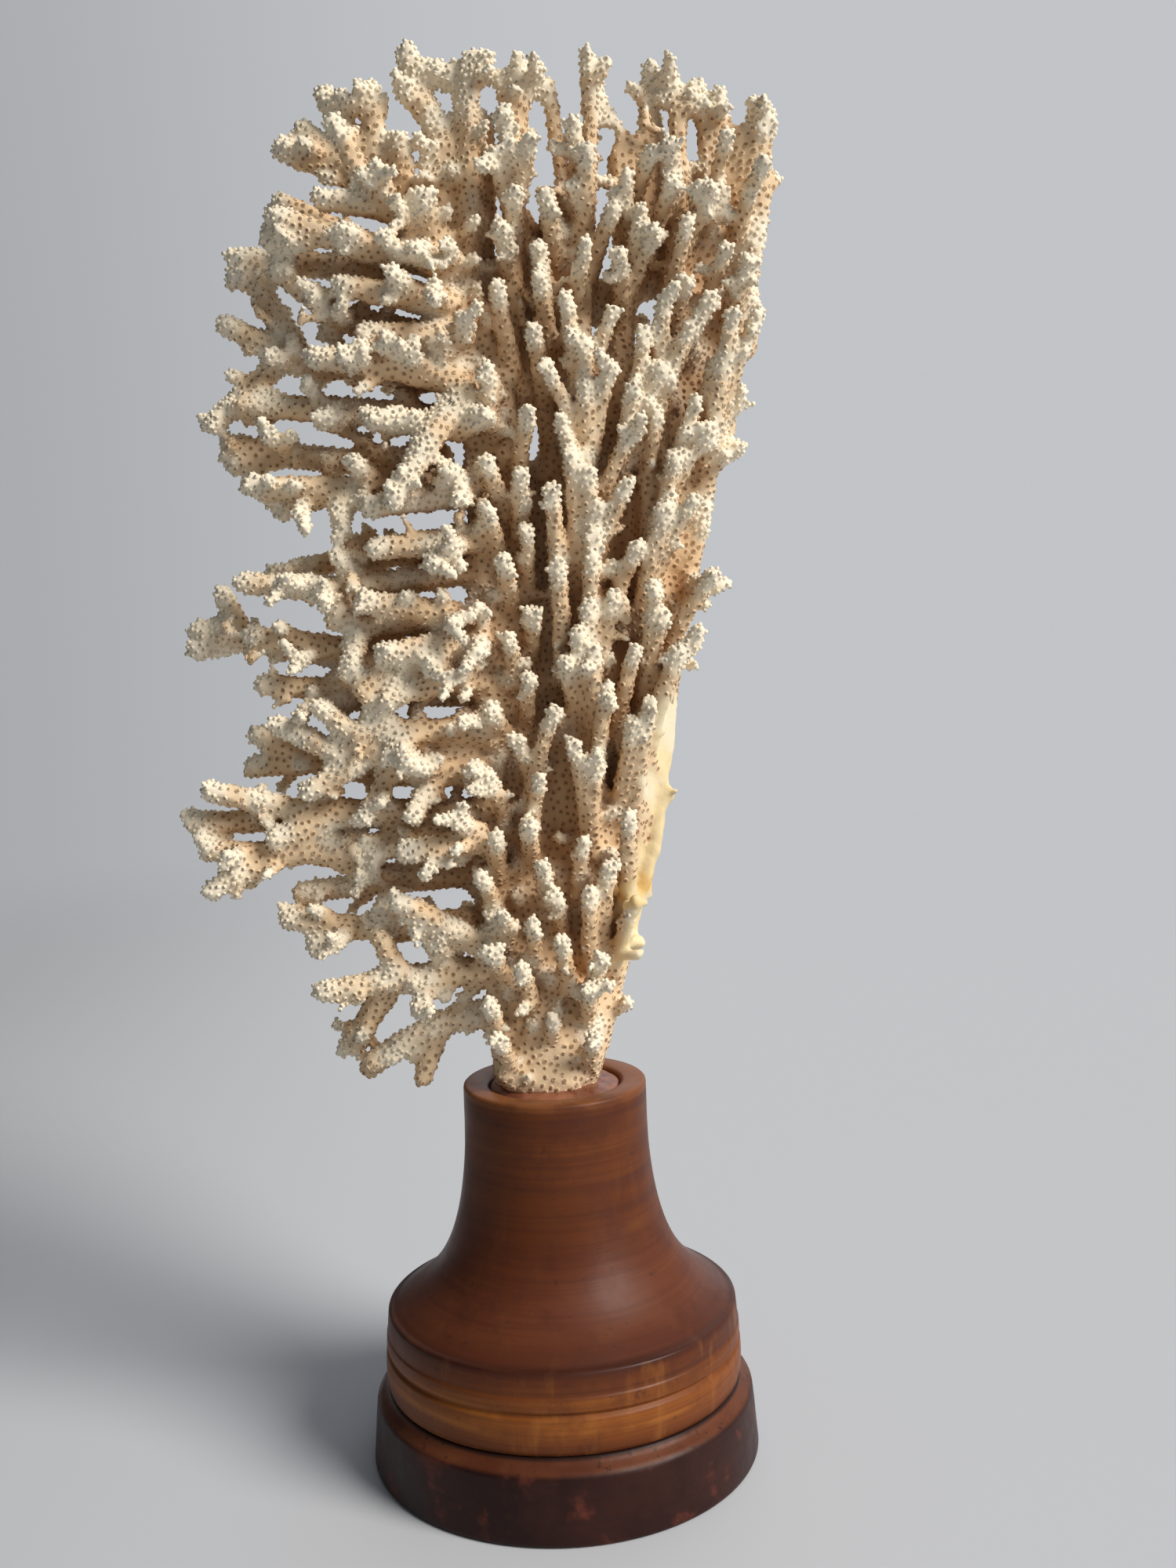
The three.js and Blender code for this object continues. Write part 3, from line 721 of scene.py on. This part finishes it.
def cup_shells(place, normal, way, tip, sky):
    """The vertices and faces of a raised cup at each place, and how deep in a pit each vertex is, which
    sets the painted shade in the pores.
    """
    n = len(place)
    grown = np.clip((tip - 0.15) / 0.6, 0, 1) * np.clip(sky * 2.5, 0.3, 1)
    height = 0.14 + 0.1 * rng.random(n) + (0.1 + 0.5 * rng.random(n)) * grown
    base_r = (0.84 - 0.17 * grown) * rng.uniform(0.9, 1.1, n)
    rim_r = (0.64 - 0.22 * grown) * rng.uniform(0.8, 1.12, n)
    pit = 0.1 + 0.3 * grown
    flat_way = unit(way - normal * (way * normal).sum(1, keepdims=True))
    axis = unit(normal + flat_way * (0.3 + 0.45 * grown)[:, None] + rng.normal(0, 0.08, (n, 3)))
    side = unit(np.cross(axis, rng.normal(size=(n, 3))))
    other = np.cross(axis, side)
    turn = np.arange(CUP_SIDES) * 2 * np.pi / CUP_SIDES
    ring = side[:, None] * np.cos(turn)[:, None] + other[:, None] * np.sin(turn)[:, None]
    base = (place - normal * 0.3)[:, None] + ring * base_r[:, None, None]
    top = place + axis * height[:, None]
    rim = top[:, None] + ring * rim_r[:, None, None]
    floor = (top - axis * pit[:, None])[:, None]
    co = np.concatenate([base, rim, floor], 1)
    k = np.arange(CUP_SIDES)
    nxt = (k + 1) % CUP_SIDES
    wall = np.stack([k, nxt, CUP_SIDES + nxt, CUP_SIDES + k], -1)
    inside = np.stack([CUP_SIDES + k, CUP_SIDES + nxt, np.full(CUP_SIDES, 2 * CUP_SIDES)], -1)
    step = np.arange(n)[:, None] * CUP_POINTS
    faces = (step[:, :, None] + wall).reshape(-1, 4).tolist()
    faces += (step[:, :, None] + inside).reshape(-1, 3).tolist()
    faces += (step + k[::-1]).tolist()
    # the floor of each pit takes painted shade, less on the tall cups near the tips
    depth = np.zeros((n, CUP_POINTS))
    depth[:, -1] = 1 - 0.8 * grown
    return co.reshape(-1, 3), faces, depth.ravel()


found = scatter(CUP_TRIES)
order = np.argsort(found[0][:, 2], kind="stable")
cup_pieces = []
for i, share in enumerate(np.array_split(order, CUP_PIECES)):
    place, normal, way, tip, sky = (values[share] for values in found)
    co, faces, depth = cup_shells(place, normal, way, tip, sky)
    piece = make_object(f"coral_cups_{i + 1}", co, faces)
    give(piece.data, "pit", depth)
    give(piece.data, "tip", np.repeat(tip, CUP_POINTS))
    give(piece.data, "open", np.repeat(sky, CUP_POINTS))
    give(piece.data, "worn", np.zeros(len(co)))
    cup_pieces.append(piece)


# ---------- materials ----------


class Nodes:
    """A material's node tree, built by short calls."""

    def __init__(self, name):
        self.material = bpy.data.materials.new(name)
        self.material.use_nodes = True
        self.tree = self.material.node_tree
        self.tree.nodes.clear()
        self.shader = self.tree.nodes.new("ShaderNodeBsdfPrincipled")
        out = self.tree.nodes.new("ShaderNodeOutputMaterial")
        self.link(self.shader.outputs[0], out.inputs[0])

    def link(self, a, b):
        self.tree.links.new(a, b)

    def node(self, kind, **settings):
        node = self.tree.nodes.new("ShaderNode" + kind)
        for key, value in settings.items():
            setattr(node, key, value)
        return node

    def put(self, socket, value):
        if isinstance(value, bpy.types.NodeSocket):
            self.link(value, socket)
        else:
            socket.default_value = value

    def position(self, scale=(1, 1, 1)):
        mapping = self.node("Mapping")
        mapping.inputs["Scale"].default_value = scale
        self.link(self.node("TexCoord").outputs["Object"], mapping.inputs["Vector"])
        return mapping.outputs[0]

    def attribute(self, name):
        return self.node("Attribute", attribute_name=name).outputs["Fac"]

    def noise(self, vector, scale, detail=3.0, rough=0.55):
        node = self.node("TexNoise")
        self.link(vector, node.inputs["Vector"])
        node.inputs["Scale"].default_value = scale
        node.inputs["Detail"].default_value = detail
        node.inputs["Roughness"].default_value = rough
        return node.outputs["Fac"]

    def math(self, operation, a, b):
        node = self.node("Math", operation=operation)
        self.put(node.inputs[0], a)
        self.put(node.inputs[1], b)
        return node.outputs[0]

    def times(self, a, b):
        return self.math("MULTIPLY", a, b)

    def plus(self, a, b):
        return self.math("ADD", a, b)

    def axes(self, vector):
        node = self.node("SeparateXYZ")
        self.link(vector, node.inputs[0])
        return node.outputs

    def span(self, value, low, high, to_low=0.0, to_high=1.0):
        """Value's way from low to high, eased, as a number from to_low to to_high."""
        node = self.node("MapRange", interpolation_type="SMOOTHSTEP")
        self.put(node.inputs["Value"], value)
        node.inputs["From Min"].default_value = low
        node.inputs["From Max"].default_value = high
        node.inputs["To Min"].default_value = to_low
        node.inputs["To Max"].default_value = to_high
        return node.outputs[0]

    def mix(self, factor, a, b):
        node = self.node("Mix", data_type="RGBA")
        self.put(node.inputs["Factor"], factor)
        self.put(node.inputs[6], a if isinstance(a, bpy.types.NodeSocket) else (*a, 1))
        self.put(node.inputs[7], b if isinstance(b, bpy.types.NodeSocket) else (*b, 1))
        return node.outputs[2]

    def bump(self, height, distance, strength=1.0):
        node = self.node("Bump")
        node.inputs["Distance"].default_value = distance
        node.inputs["Strength"].default_value = strength
        self.link(height, node.inputs["Height"])
        self.link(node.outputs[0], self.shader.inputs["Normal"])


SHAFT_TAN = (0.73, 0.51, 0.30)
SHAFT_PALE = (0.81, 0.61, 0.385)
PAINTED_LIGHT_CREAM = (0.86, 0.71, 0.50)
TIP_CREAM = (0.94, 0.845, 0.665)
PAINTED_SHADE_BROWN = (0.45, 0.25, 0.11)
GRAIN_BROWN = (0.62, 0.43, 0.25)
PORE_PAINTED_SHADE = (0.28, 0.155, 0.075)
WORN_YELLOW = (0.80, 0.64, 0.36)
WORN_CREAM = (0.84, 0.74, 0.53)
RUST_YELLOW = (0.74, 0.47, 0.14)


def coral_material():
    """Pale at the tips and tan on the shafts, paler where open as painted light and brown in the depths as
    painted shade, with a worn margin and pores darkened by painted shade.
    """
    m = Nodes("coral")
    place = m.position()
    tip, sky, pit = m.attribute("tip"), m.attribute("open"), m.attribute("pit")
    patch = m.noise(place, 60.0, 3)
    fine = m.noise(place, 900.0, 3)
    worn = m.attribute("worn")
    height = m.axes(place)[2]
    colour = m.mix(m.span(patch, 0.35, 0.65), SHAFT_TAN, SHAFT_PALE)
    # painted light: paler where more of the sky is seen
    colour = m.mix(m.span(sky, 0.5, 1.0, 0.0, 0.25), colour, PAINTED_LIGHT_CREAM)
    colour = m.mix(m.span(tip, 0.05, 0.9, 0.0, 0.95), colour, TIP_CREAM)
    # painted shade: browner where less of the sky is seen
    colour = m.mix(m.span(sky, 0.03, 0.6, 0.88, 0.0), colour, PAINTED_SHADE_BROWN)
    colour = m.mix(m.span(fine, 0.3, 0.7, 0.0, 0.12), colour, GRAIN_BROWN)
    # painted shade in the pores: darker at the floor of each cup's pit
    colour = m.mix(m.span(pit, 0.05, 0.5, 0.0, 0.88), colour, PORE_PAINTED_SHADE)
    rust_band = m.times(m.span(height, 0.139, 0.143), m.span(height, 0.150, 0.146))
    rust = m.times(rust_band, m.span(patch, 0.35, 0.55))
    bare = m.mix(m.span(patch, 0.4, 0.6), WORN_YELLOW, WORN_CREAM)
    bare = m.mix(rust, bare, RUST_YELLOW)
    colour = m.mix(m.times(worn, 0.9), colour, bare)
    m.link(colour, m.shader.inputs["Base Color"])
    m.shader.inputs["Roughness"].default_value = 0.92
    m.shader.inputs["Specular IOR Level"].default_value = 0.25
    m.bump(fine, 0.00025, 0.6)
    return m.material


def sliced(obj, heights):
    """Closed pieces of obj between the heights, that shade as one surface."""
    co, tri = mesh_arrays(obj.data)
    normal = normals(obj.data)
    fields = {}
    for name in ("tip", "open", "pit", "worn"):
        values = np.empty(len(co), np.float32)
        obj.data.attributes[name].data.foreach_get("value", values)
        fields[name] = values
    middle = co[tri][:, :, 2].mean(1)
    bounds = [-1e9, *heights, 1e9]
    pieces = []
    for i, (low, high) in enumerate(zip(bounds, bounds[1:])):
        part = tri[(middle >= low) & (middle < high)]
        used, local = np.unique(part, return_inverse=True)
        local = local.reshape(-1, 3)
        piece = make_object(f"coral_body_{i + 1}", co[used], local)
        mesh = bmesh.new()
        mesh.from_mesh(piece.data)
        rims = [e for e in mesh.edges if e.is_boundary]
        caps = bmesh.ops.holes_fill(mesh, edges=rims, sides=0)["faces"]
        bmesh.ops.triangulate(mesh, faces=caps)
        mesh.to_mesh(piece.data)
        mesh.free()
        for name, values in fields.items():
            give(piece.data, name, values[used])
        piece.data.shade_smooth()
        piece.data.normals_split_custom_set_from_vertices(normal[used].tolist())
        pieces.append(piece)
    bpy.data.objects.remove(obj)
    return pieces


SLICES = (190.0, 262.0)  # the heights between the body's three pieces
body_pieces = sliced(body, SLICES)
coral = coral_material()
for piece in [*body_pieces, *cup_pieces]:
    piece.data.materials.clear()
    piece.data.materials.append(coral)
    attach(piece, "root")
for piece in cup_pieces:
    piece.data.shade_smooth()
for node in CORAL_NODES:
    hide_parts(node)


# ---------- the stand ----------

LATHE_STEPS = 128


def ring_faces(rings, sides):
    """The faces of a closed body of rings, from below. The points at its two ends come after the rings."""
    k = np.arange(sides)
    nxt = (k + 1) % sides
    faces = []
    for a in range(0, (rings - 1) * sides, sides):
        b = a + sides
        faces += np.stack([a + k, a + nxt, b + nxt, b + k], -1).tolist()
    last, end = (rings - 1) * sides, rings * sides
    faces += np.stack([nxt, k, np.full(sides, end)], -1).tolist()
    faces += np.stack([last + k, last + nxt, np.full(sides, end + 1)], -1).tolist()
    return faces


def turned(name, profile, wobble):
    """A closed turned body from a profile of (radius, z) that starts and ends on the axis, from below.

    Wobble is how far out of round its wide part is, as a share of the radius.
    """
    profile = np.array(profile, float)
    turn = np.arange(LATHE_STEPS) * 2 * np.pi / LATHE_STEPS
    r, z = profile[1:-1, 0], profile[1:-1, 1]
    swell = 1 + wobble * np.sin(3 * turn + 1)[None, :] * (r > 20)[:, None]
    ring = r[:, None] * swell
    co = np.stack([ring * np.cos(turn), ring * np.sin(turn), np.repeat(z[:, None], LATHE_STEPS, 1)], -1)
    co = np.concatenate([co.reshape(-1, 3), [[0, 0, profile[0, 1]], [0, 0, profile[-1, 1]]]])
    return make_object(name, co, ring_faces(len(r), LATHE_STEPS))


def bezier(points, steps):
    """Points along the cubic curve with those four control points."""
    a, b, c, d = (np.array(p, float) for p in points)
    t = np.linspace(0, 1, steps)[:, None]
    curve = (1 - t) ** 3 * a + 3 * (1 - t) ** 2 * t * b + 3 * (1 - t) * t * t * c + t**3 * d
    return curve.tolist()


def rounded(profile, radius, steps=3):
    """The profile with each of its inner corners rounded."""
    points = [np.array(p, float) for p in profile]
    out = [points[0].tolist()]
    for before, here, after in zip(points, points[1:], points[2:]):
        cut = min(radius, 0.45 * np.linalg.norm(before - here), 0.45 * np.linalg.norm(after - here))
        start, end = here + unit(before - here) * cut, here + unit(after - here) * cut
        for t in np.linspace(0, 1, steps):
            out.append(((1 - t) ** 2 * start + 2 * t * (1 - t) * here + t * t * end).tolist())
    out.append(points[-1].tolist())
    return out


def bell():
    barrel = rounded(
        [(0, 19.7), (44.6, 19.7), (45.0, 21), (45.25, 25), (45.1, 28.4), (44.3, 29.1), (44.3, 29.5),
         (44.95, 30.2), (44.8, 33.2), (44.45, 33.6), (44.4, 36.2), (44.15, 38.9), (43.6, 39.35),
         (42.8, 39.5)],
        0.35,
    )
    flare = bezier([(42.4, 39.65), (35.2, 45.4), (25.2, 48.2), (23.2, 80)], 30)
    neck = [(23.12, 83), (23.05, 86), (23.05, 89)]
    rim = rounded(
        [(23.05, 90), (23.0, 95.4), (19.2, 95.5), (17.3, 95.2), (16.6, 94.5), (16.45, 86), (0, 86)], 0.9, 4
    )
    return turned("stand_bell", barrel + flare + neck + rim[1:], 0.0006)


def plinth():
    side = rounded(
        [(0, 0), (48.6, 0), (49.2, 0.9), (48.9, 4), (48.3, 12), (47.9, 15.8), (47.1, 16.9), (46.0, 17.6),
         (45.2, 18.3), (44.7, 19.3), (44.0, 19.55), (0, 19.55)],
        0.5,
    )
    return turned("stand_plinth", side, 0.0008)


def plug():
    """The putty in the neck, pressed up around the coral's foot and uneven all over."""
    sides, rings = 72, 26
    radius, top, base = 16.4, 94.6, 86.4
    turn = np.arange(sides) * 2 * np.pi / sides
    r = np.linspace(radius, 0.4, rings)
    x, y = r[:, None] * np.cos(turn), r[:, None] * np.sin(turn)
    lumps = (
        0.28 * np.sin(x * 0.55 + 1.3 * np.sin(y * 0.31)) * np.cos(y * 0.47 + 0.8)
        + 0.12 * np.sin(x * 1.3 - y * 0.9)
        + 0.07 * np.sin(x * 2.9 + y * 2.3)
    )
    off = np.hypot((x + 2.5) / 12.5, y / 12.5)
    pressed = 1.0 * np.exp(-((off - 0.95) / 0.2) ** 2)
    edge = np.clip((radius - r) / 1.2, 0, 1)[:, None]
    z = top - 0.5 * (1 - edge) ** 2 + (lumps + pressed) * edge
    upper = np.stack([x, y, z], -1)
    lower = np.stack([radius * np.cos(turn), radius * np.sin(turn), np.full(sides, base)], -1)
    co = np.concatenate([lower, upper.reshape(-1, 3), [[0, 0, base], [0, 0, z[-1].mean()]]])
    return make_object("stand_plug", co, ring_faces(rings + 1, sides))


def ramp(m, value, stops):
    """A colour that runs through the stops, each a place and the colour there."""
    node = m.node("ValToRGB")
    m.link(value, node.inputs[0])
    elements = node.color_ramp.elements
    while len(elements) < len(stops):
        elements.new(0.5)
    for element, (place, colour) in zip(elements, stops):
        element.position = place
        element.color = (*colour, 1)
    return node.outputs[0]


def wood_material():
    """Red-brown polished wood with turning lines, golden wisps low down, stains and flecks."""
    m = Nodes("wood")
    place = m.position()
    height = m.axes(place)[2]
    lines = m.noise(m.position((14, 14, 900)), 1.0, 4, 0.6)
    bands = m.noise(m.position((9, 9, 190)), 1.0, 3, 0.5)
    fibres = m.noise(m.position((160, 160, 30)), 1.0, 4, 0.6)
    cloud = m.noise(place, 42.0, 4, 0.6)
    stain = m.noise(place, 75.0, 5, 0.65)
    flecks = m.noise(place, 420.0, 2, 0.5)
    tone = ramp(
        m,
        m.times(height, 10.0),
        [(0.197, (0.09, 0.024, 0.007)), (0.22, (0.18, 0.050, 0.011)), (0.275, (0.23, 0.068, 0.013)),
         (0.345, (0.15, 0.041, 0.010)), (0.375, (0.115, 0.030, 0.009)), (0.390, (0.03, 0.008, 0.005)),
         (0.402, (0.090, 0.024, 0.010)), (0.46, (0.130, 0.036, 0.015)), (0.60, (0.105, 0.027, 0.009)),
         (0.72, (0.115, 0.030, 0.008)), (0.93, (0.125, 0.034, 0.009)), (0.953, (0.26, 0.092, 0.030))],
    )
    golden = m.times(m.span(bands, 0.5, 0.68), m.span(cloud, 0.4, 0.62))
    low_part = m.span(height, 0.040, 0.037, 0.12, 1.0)
    golden = m.times(golden, m.times(low_part, 0.7))
    tone = m.mix(golden, tone, (0.44, 0.155, 0.028))
    tone = m.mix(m.span(lines, 0.35, 0.62, 0.3, 0.0), tone, (0.06, 0.016, 0.008))
    tone = m.mix(m.span(bands, 0.32, 0.47, 0.8, 0.0), tone, (0.075, 0.021, 0.010))
    tone = m.mix(m.span(stain, 0.48, 0.72, 0.0, 0.6), tone, (0.07, 0.019, 0.010))
    wisps = m.times(m.span(fibres, 0.52, 0.72, 0.0, 0.45), low_part)
    tone = m.mix(wisps, tone, (0.34, 0.125, 0.030))
    tone = m.mix(m.span(flecks, 0.66, 0.74, 0.0, 0.5), tone, (0.05, 0.018, 0.012))
    m.link(tone, m.shader.inputs["Base Color"])
    m.link(m.span(cloud, 0.3, 0.7, 0.34, 0.5), m.shader.inputs["Roughness"])
    m.shader.inputs["Specular IOR Level"].default_value = 0.18
    m.bump(m.plus(lines, m.times(fibres, 0.4)), 0.00012, 0.5)
    return m.material


def dark_wood_material():
    """Nearly black wood with reddish scuffs and a paler ledge on top."""
    m = Nodes("dark_wood")
    place = m.position()
    height = m.axes(place)[2]
    lines = m.noise(m.position((16, 16, 700)), 1.0, 4, 0.6)
    cloud = m.noise(place, 45.0, 5, 0.6)
    patch = m.noise(place, 95.0, 4, 0.6)
    flecks = m.noise(place, 500.0, 2, 0.5)
    tone = m.mix(m.span(cloud, 0.35, 0.65), (0.019, 0.006, 0.0045), (0.040, 0.012, 0.008))
    tone = m.mix(m.span(patch, 0.54, 0.68, 0.0, 0.85), tone, (0.115, 0.028, 0.016))
    tone = m.mix(m.span(lines, 0.35, 0.6, 0.4, 0.0), tone, (0.022, 0.009, 0.007))
    ledge = m.mix(m.span(cloud, 0.35, 0.65), (0.085, 0.023, 0.010), (0.13, 0.040, 0.016))
    tone = m.mix(m.span(height, 0.0158, 0.0170), tone, ledge)
    tone = m.mix(m.span(flecks, 0.62, 0.7, 0.0, 0.6), tone, (0.03, 0.012, 0.008))
    seam = m.span(height, 0.0184, 0.0193)
    tone = m.mix(seam, tone, (0.02, 0.008, 0.006))
    m.link(tone, m.shader.inputs["Base Color"])
    m.link(m.span(patch, 0.3, 0.7, 0.34, 0.5), m.shader.inputs["Roughness"])
    m.shader.inputs["Specular IOR Level"].default_value = 0.18
    m.bump(m.plus(lines, flecks), 0.00012, 0.5)
    return m.material


def putty_material():
    """Reddish-brown filler, smooth and a little shiny."""
    m = Nodes("putty")
    place = m.position()
    cloud = m.noise(place, 160.0, 4, 0.6)
    grain = m.noise(place, 700.0, 3, 0.6)
    tone = m.mix(m.span(cloud, 0.35, 0.65), (0.17, 0.052, 0.026), (0.30, 0.115, 0.06))
    tone = m.mix(m.span(grain, 0.55, 0.7, 0.0, 0.4), tone, (0.09, 0.03, 0.018))
    m.link(tone, m.shader.inputs["Base Color"])
    m.link(m.span(cloud, 0.3, 0.7, 0.22, 0.42), m.shader.inputs["Roughness"])
    m.bump(m.plus(cloud, m.times(grain, 0.3)), 0.0004, 0.6)
    return m.material


for make, node, slot, material in (
    (bell, "bell", "wood", wood_material()),
    (plinth, "plinth", "dark_wood", dark_wood_material()),
    (plug, "plug", "putty", putty_material()),
):
    piece = make()
    piece.data.materials.append(material)
    piece.data.shade_smooth()
    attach(piece, "root")
    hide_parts(node)


# ---------- the room ----------


def floor():
    """A pale floor with painted shade on the left, that fades out before its edges."""
    mesh = bpy.data.meshes.new("floor")
    far = 1.5
    mesh.from_pydata([(-far, -far, 0), (far, -far, 0), (far, far, 0), (-far, far, 0)], [], [(0, 1, 2, 3)])
    obj = bpy.data.objects.new("floor", mesh)
    bpy.context.scene.collection.objects.link(obj)
    m = Nodes("floor")
    place = m.position()
    # painted shade: the floor's colour darkens towards the left
    shade = m.span(m.axes(place)[0], -0.45, 0.02)
    m.link(m.mix(shade, (0.38, 0.388, 0.40), (0.60, 0.613, 0.635)), m.shader.inputs["Base Color"])
    m.shader.inputs["Roughness"].default_value = 1.0
    m.shader.inputs["Specular IOR Level"].default_value = 0.0
    length = m.node("VectorMath", operation="LENGTH")
    m.link(place, length.inputs[0])
    m.link(m.span(length.outputs["Value"], 0.5, 1.3, 1.0, 0.0), m.shader.inputs["Alpha"])
    mesh.materials.append(m.material)


def sun(name, way, energy, angle, colour):
    """A soft light that comes from way and is that many degrees wide."""
    light = bpy.data.lights.new(name, "SUN")
    light.energy = energy
    light.angle = math.radians(angle)
    light.color = colour
    obj = bpy.data.objects.new(name, light)
    obj.rotation_euler = Vector(way).to_track_quat("Z", "Y").to_euler()
    bpy.context.scene.collection.objects.link(obj)


def surroundings():
    """Dim light from all around, weaker on the left. What the camera sees is as bright as the floor, with
    painted shade on the left like the floor's.
    """
    world = bpy.data.worlds.new("world")
    world.use_nodes = True
    tree = world.node_tree
    place = tree.nodes.new("ShaderNodeTexCoord")
    apart = tree.nodes.new("ShaderNodeSeparateXYZ")
    tree.links.new(place.outputs["Generated"], apart.inputs[0])
    seen = tree.nodes["Background"]
    seen.inputs[0].default_value = (0.535, 0.55, 0.575, 1)
    lit = tree.nodes.new("ShaderNodeBackground")
    lit.inputs[0].default_value = (0.86, 0.92, 1.0, 1)
    # Each is graded by the sideways part of the way looked in: two ends, and the strength at each. For the
    # lit one that is weaker light on the left; for the seen one it is painted shade on the left.
    for background, limits in ((seen, (-0.4, 0.05, 0.72, 1.0)), (lit, (-0.8, 0.8, 0.08, 0.38))):
        across = tree.nodes.new("ShaderNodeMapRange")
        across.interpolation_type = "SMOOTHSTEP"
        for socket, value in zip(across.inputs[1:5], limits):
            socket.default_value = value
        tree.links.new(apart.outputs[0], across.inputs[0])
        tree.links.new(across.outputs[0], background.inputs[1])
    choice = tree.nodes.new("ShaderNodeMixShader")
    path = tree.nodes.new("ShaderNodeLightPath")
    tree.links.new(path.outputs["Is Camera Ray"], choice.inputs[0])
    tree.links.new(lit.outputs[0], choice.inputs[1])
    tree.links.new(seen.outputs[0], choice.inputs[2])
    tree.links.new(choice.outputs[0], tree.nodes["World Output"].inputs[0])
    bpy.context.scene.world = world


CAMERA_PLACE = (0, -0.3875, 0.2066)
CAMERA_ANGLES = (5.41, 1.61, -1.87)  # degrees down, to the right and anticlockwise


def camera():
    data = bpy.data.cameras.new("camera")
    data.sensor_width = 36
    data.lens = 36
    data.clip_start = 0.01
    obj = bpy.data.objects.new("camera", data)
    pitch, yaw, roll = (math.radians(degrees) for degrees in CAMERA_ANGLES)
    forward = Vector((math.sin(yaw) * math.cos(pitch), math.cos(yaw) * math.cos(pitch), -math.sin(pitch)))
    level = Vector((math.cos(yaw), -math.sin(yaw), 0))
    upright = level.cross(forward)
    right = level * math.cos(roll) + upright * math.sin(roll)
    up = upright * math.cos(roll) - level * math.sin(roll)
    turned_to = Matrix((right, up, -forward)).transposed().to_4x4()
    obj.matrix_world = Matrix.Translation(CAMERA_PLACE) @ turned_to
    bpy.context.scene.collection.objects.link(obj)
    bpy.context.scene.camera = obj


floor()
camera()
sun("key", way=(1.25, -0.85, 1.1), energy=3.5, angle=30, colour=(1.0, 0.965, 0.92))
sun("back", way=(0.3, 1.0, 0.6), energy=0.4, angle=60, colour=(0.92, 0.95, 1.0))
surroundings()
bpy.context.scene.view_settings.view_transform = "Standard"
